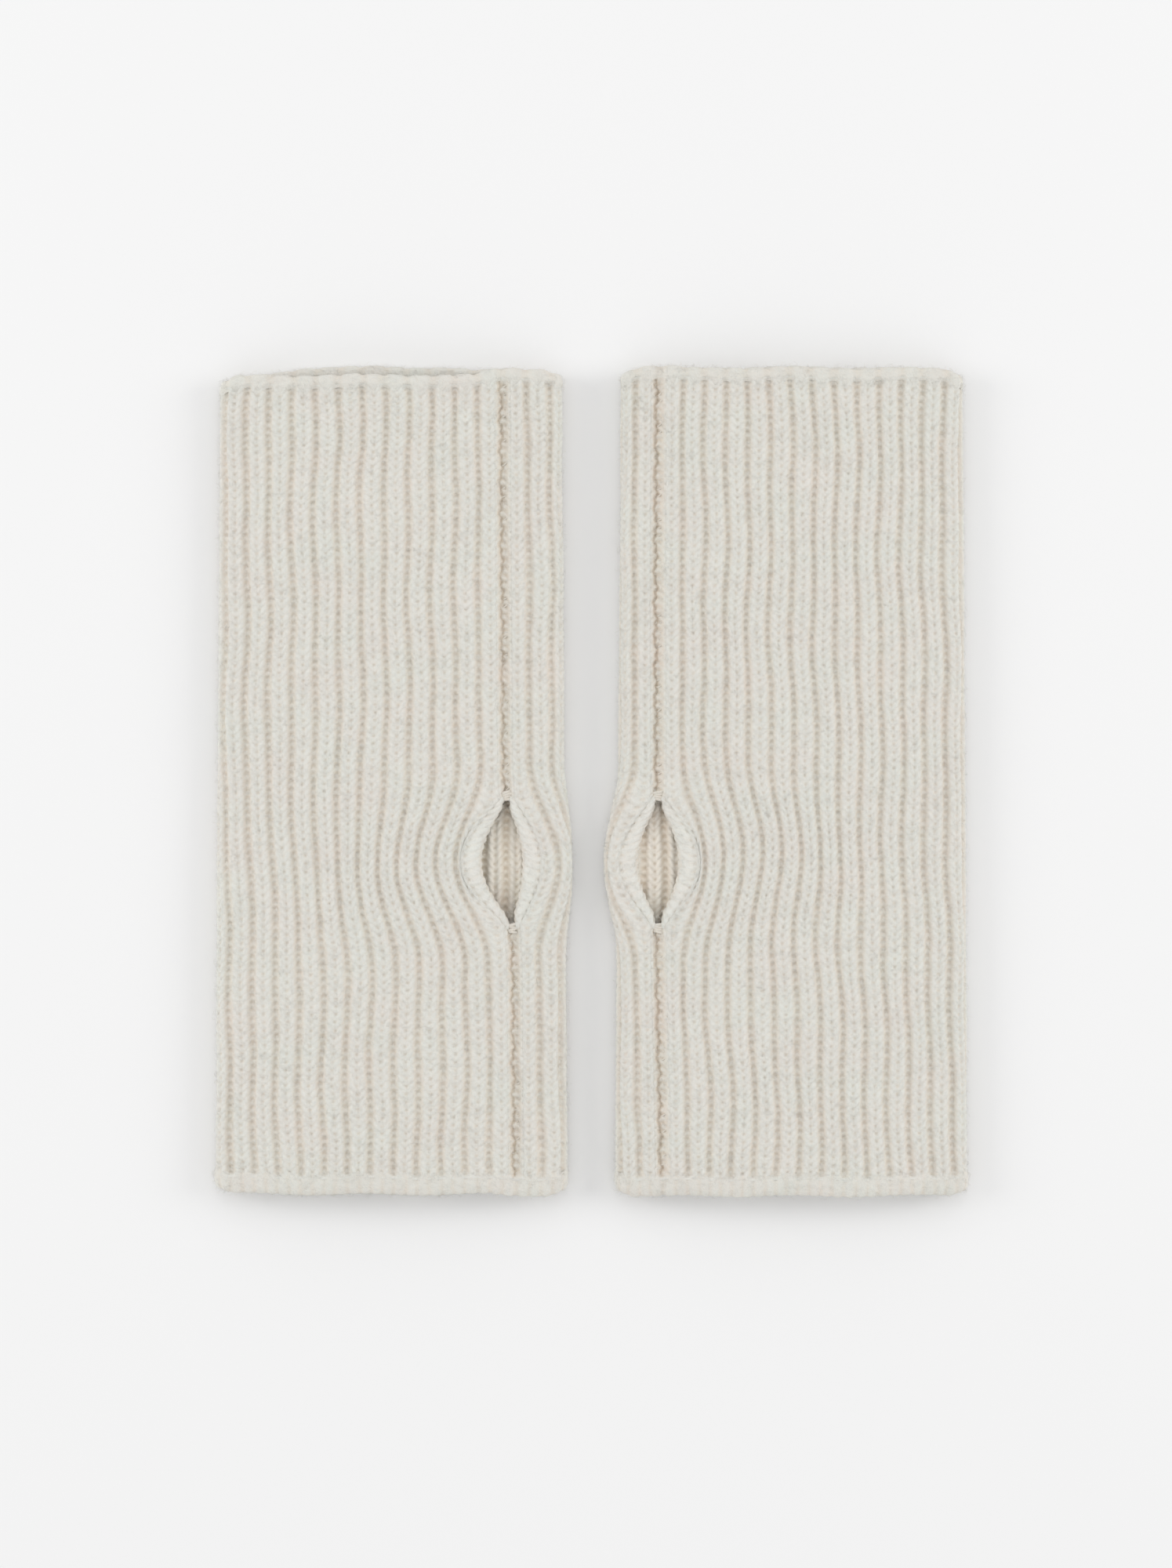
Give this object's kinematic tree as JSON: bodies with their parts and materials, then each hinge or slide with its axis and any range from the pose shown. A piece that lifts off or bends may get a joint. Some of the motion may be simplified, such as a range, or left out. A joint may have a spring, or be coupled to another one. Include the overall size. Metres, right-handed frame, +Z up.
{
  "type": "fingerless gloves",
  "caption": "Pair of long ribbed-knit fingerless gloves laid flat, each a seamed tube with an open thumb slit between rolled edges, a rolled finger edge and a bound arm edge.",
  "frame": {"origin": "midway between the two gloves' middle lines, halfway along them, on the surface they lie on", "axes": "+X from the left glove towards the right glove, +Y from the finger edges towards the arm edges, +Z up from the surface"},
  "size_m": [0.1936, 0.213, 0.011],
  "materials": {
    "cream_knit": "brushed off-white wool in wide one-by-one ribbing",
    "linking_yarn": "the same wool, in the shade of the seam"
  },
  "bodies": {
    "left_hand": {"left_hand_panel": "cream_knit", "left_wrist_seam": "linking_yarn", "left_finger_seam": "linking_yarn", "left_finger_edge": "cream_knit", "left_thumb_roll_palm": "cream_knit", "left_thumb_roll_side": "cream_knit", "left_upper_tack": "linking_yarn", "left_lower_tack": "linking_yarn"},
    "left_arm": {"left_arm_panel": "cream_knit", "left_arm_seam": "linking_yarn", "left_arm_edge": "cream_knit"},
    "right_hand": {"right_hand_panel": "cream_knit", "right_wrist_seam": "linking_yarn", "right_finger_seam": "linking_yarn", "right_finger_edge": "cream_knit", "right_thumb_roll_palm": "cream_knit", "right_thumb_roll_side": "cream_knit", "right_upper_tack": "linking_yarn", "right_lower_tack": "linking_yarn"},
    "right_arm": {"right_arm_panel": "cream_knit", "right_arm_seam": "linking_yarn", "right_arm_edge": "cream_knit"}
  },
  "joints": [
    {"name": "left_wrist_fold", "type": "hinge", "parent": "left_hand", "child": "left_arm", "pos_m": [-0.05135, 0.025, 0.0114], "axis": [1, 0, 0], "range_deg": [0, 180]},
    {"name": "right_wrist_fold", "type": "hinge", "parent": "right_hand", "child": "right_arm", "pos_m": [0.05135, 0.025, 0.0114], "axis": [1, 0, 0], "range_deg": [0, 180]},
    {"name": "pair_apart", "type": "slide", "parent": "left_hand", "child": "right_hand", "axis": [1, 0, 0], "range_m": [0, 0.12]}
  ]
}
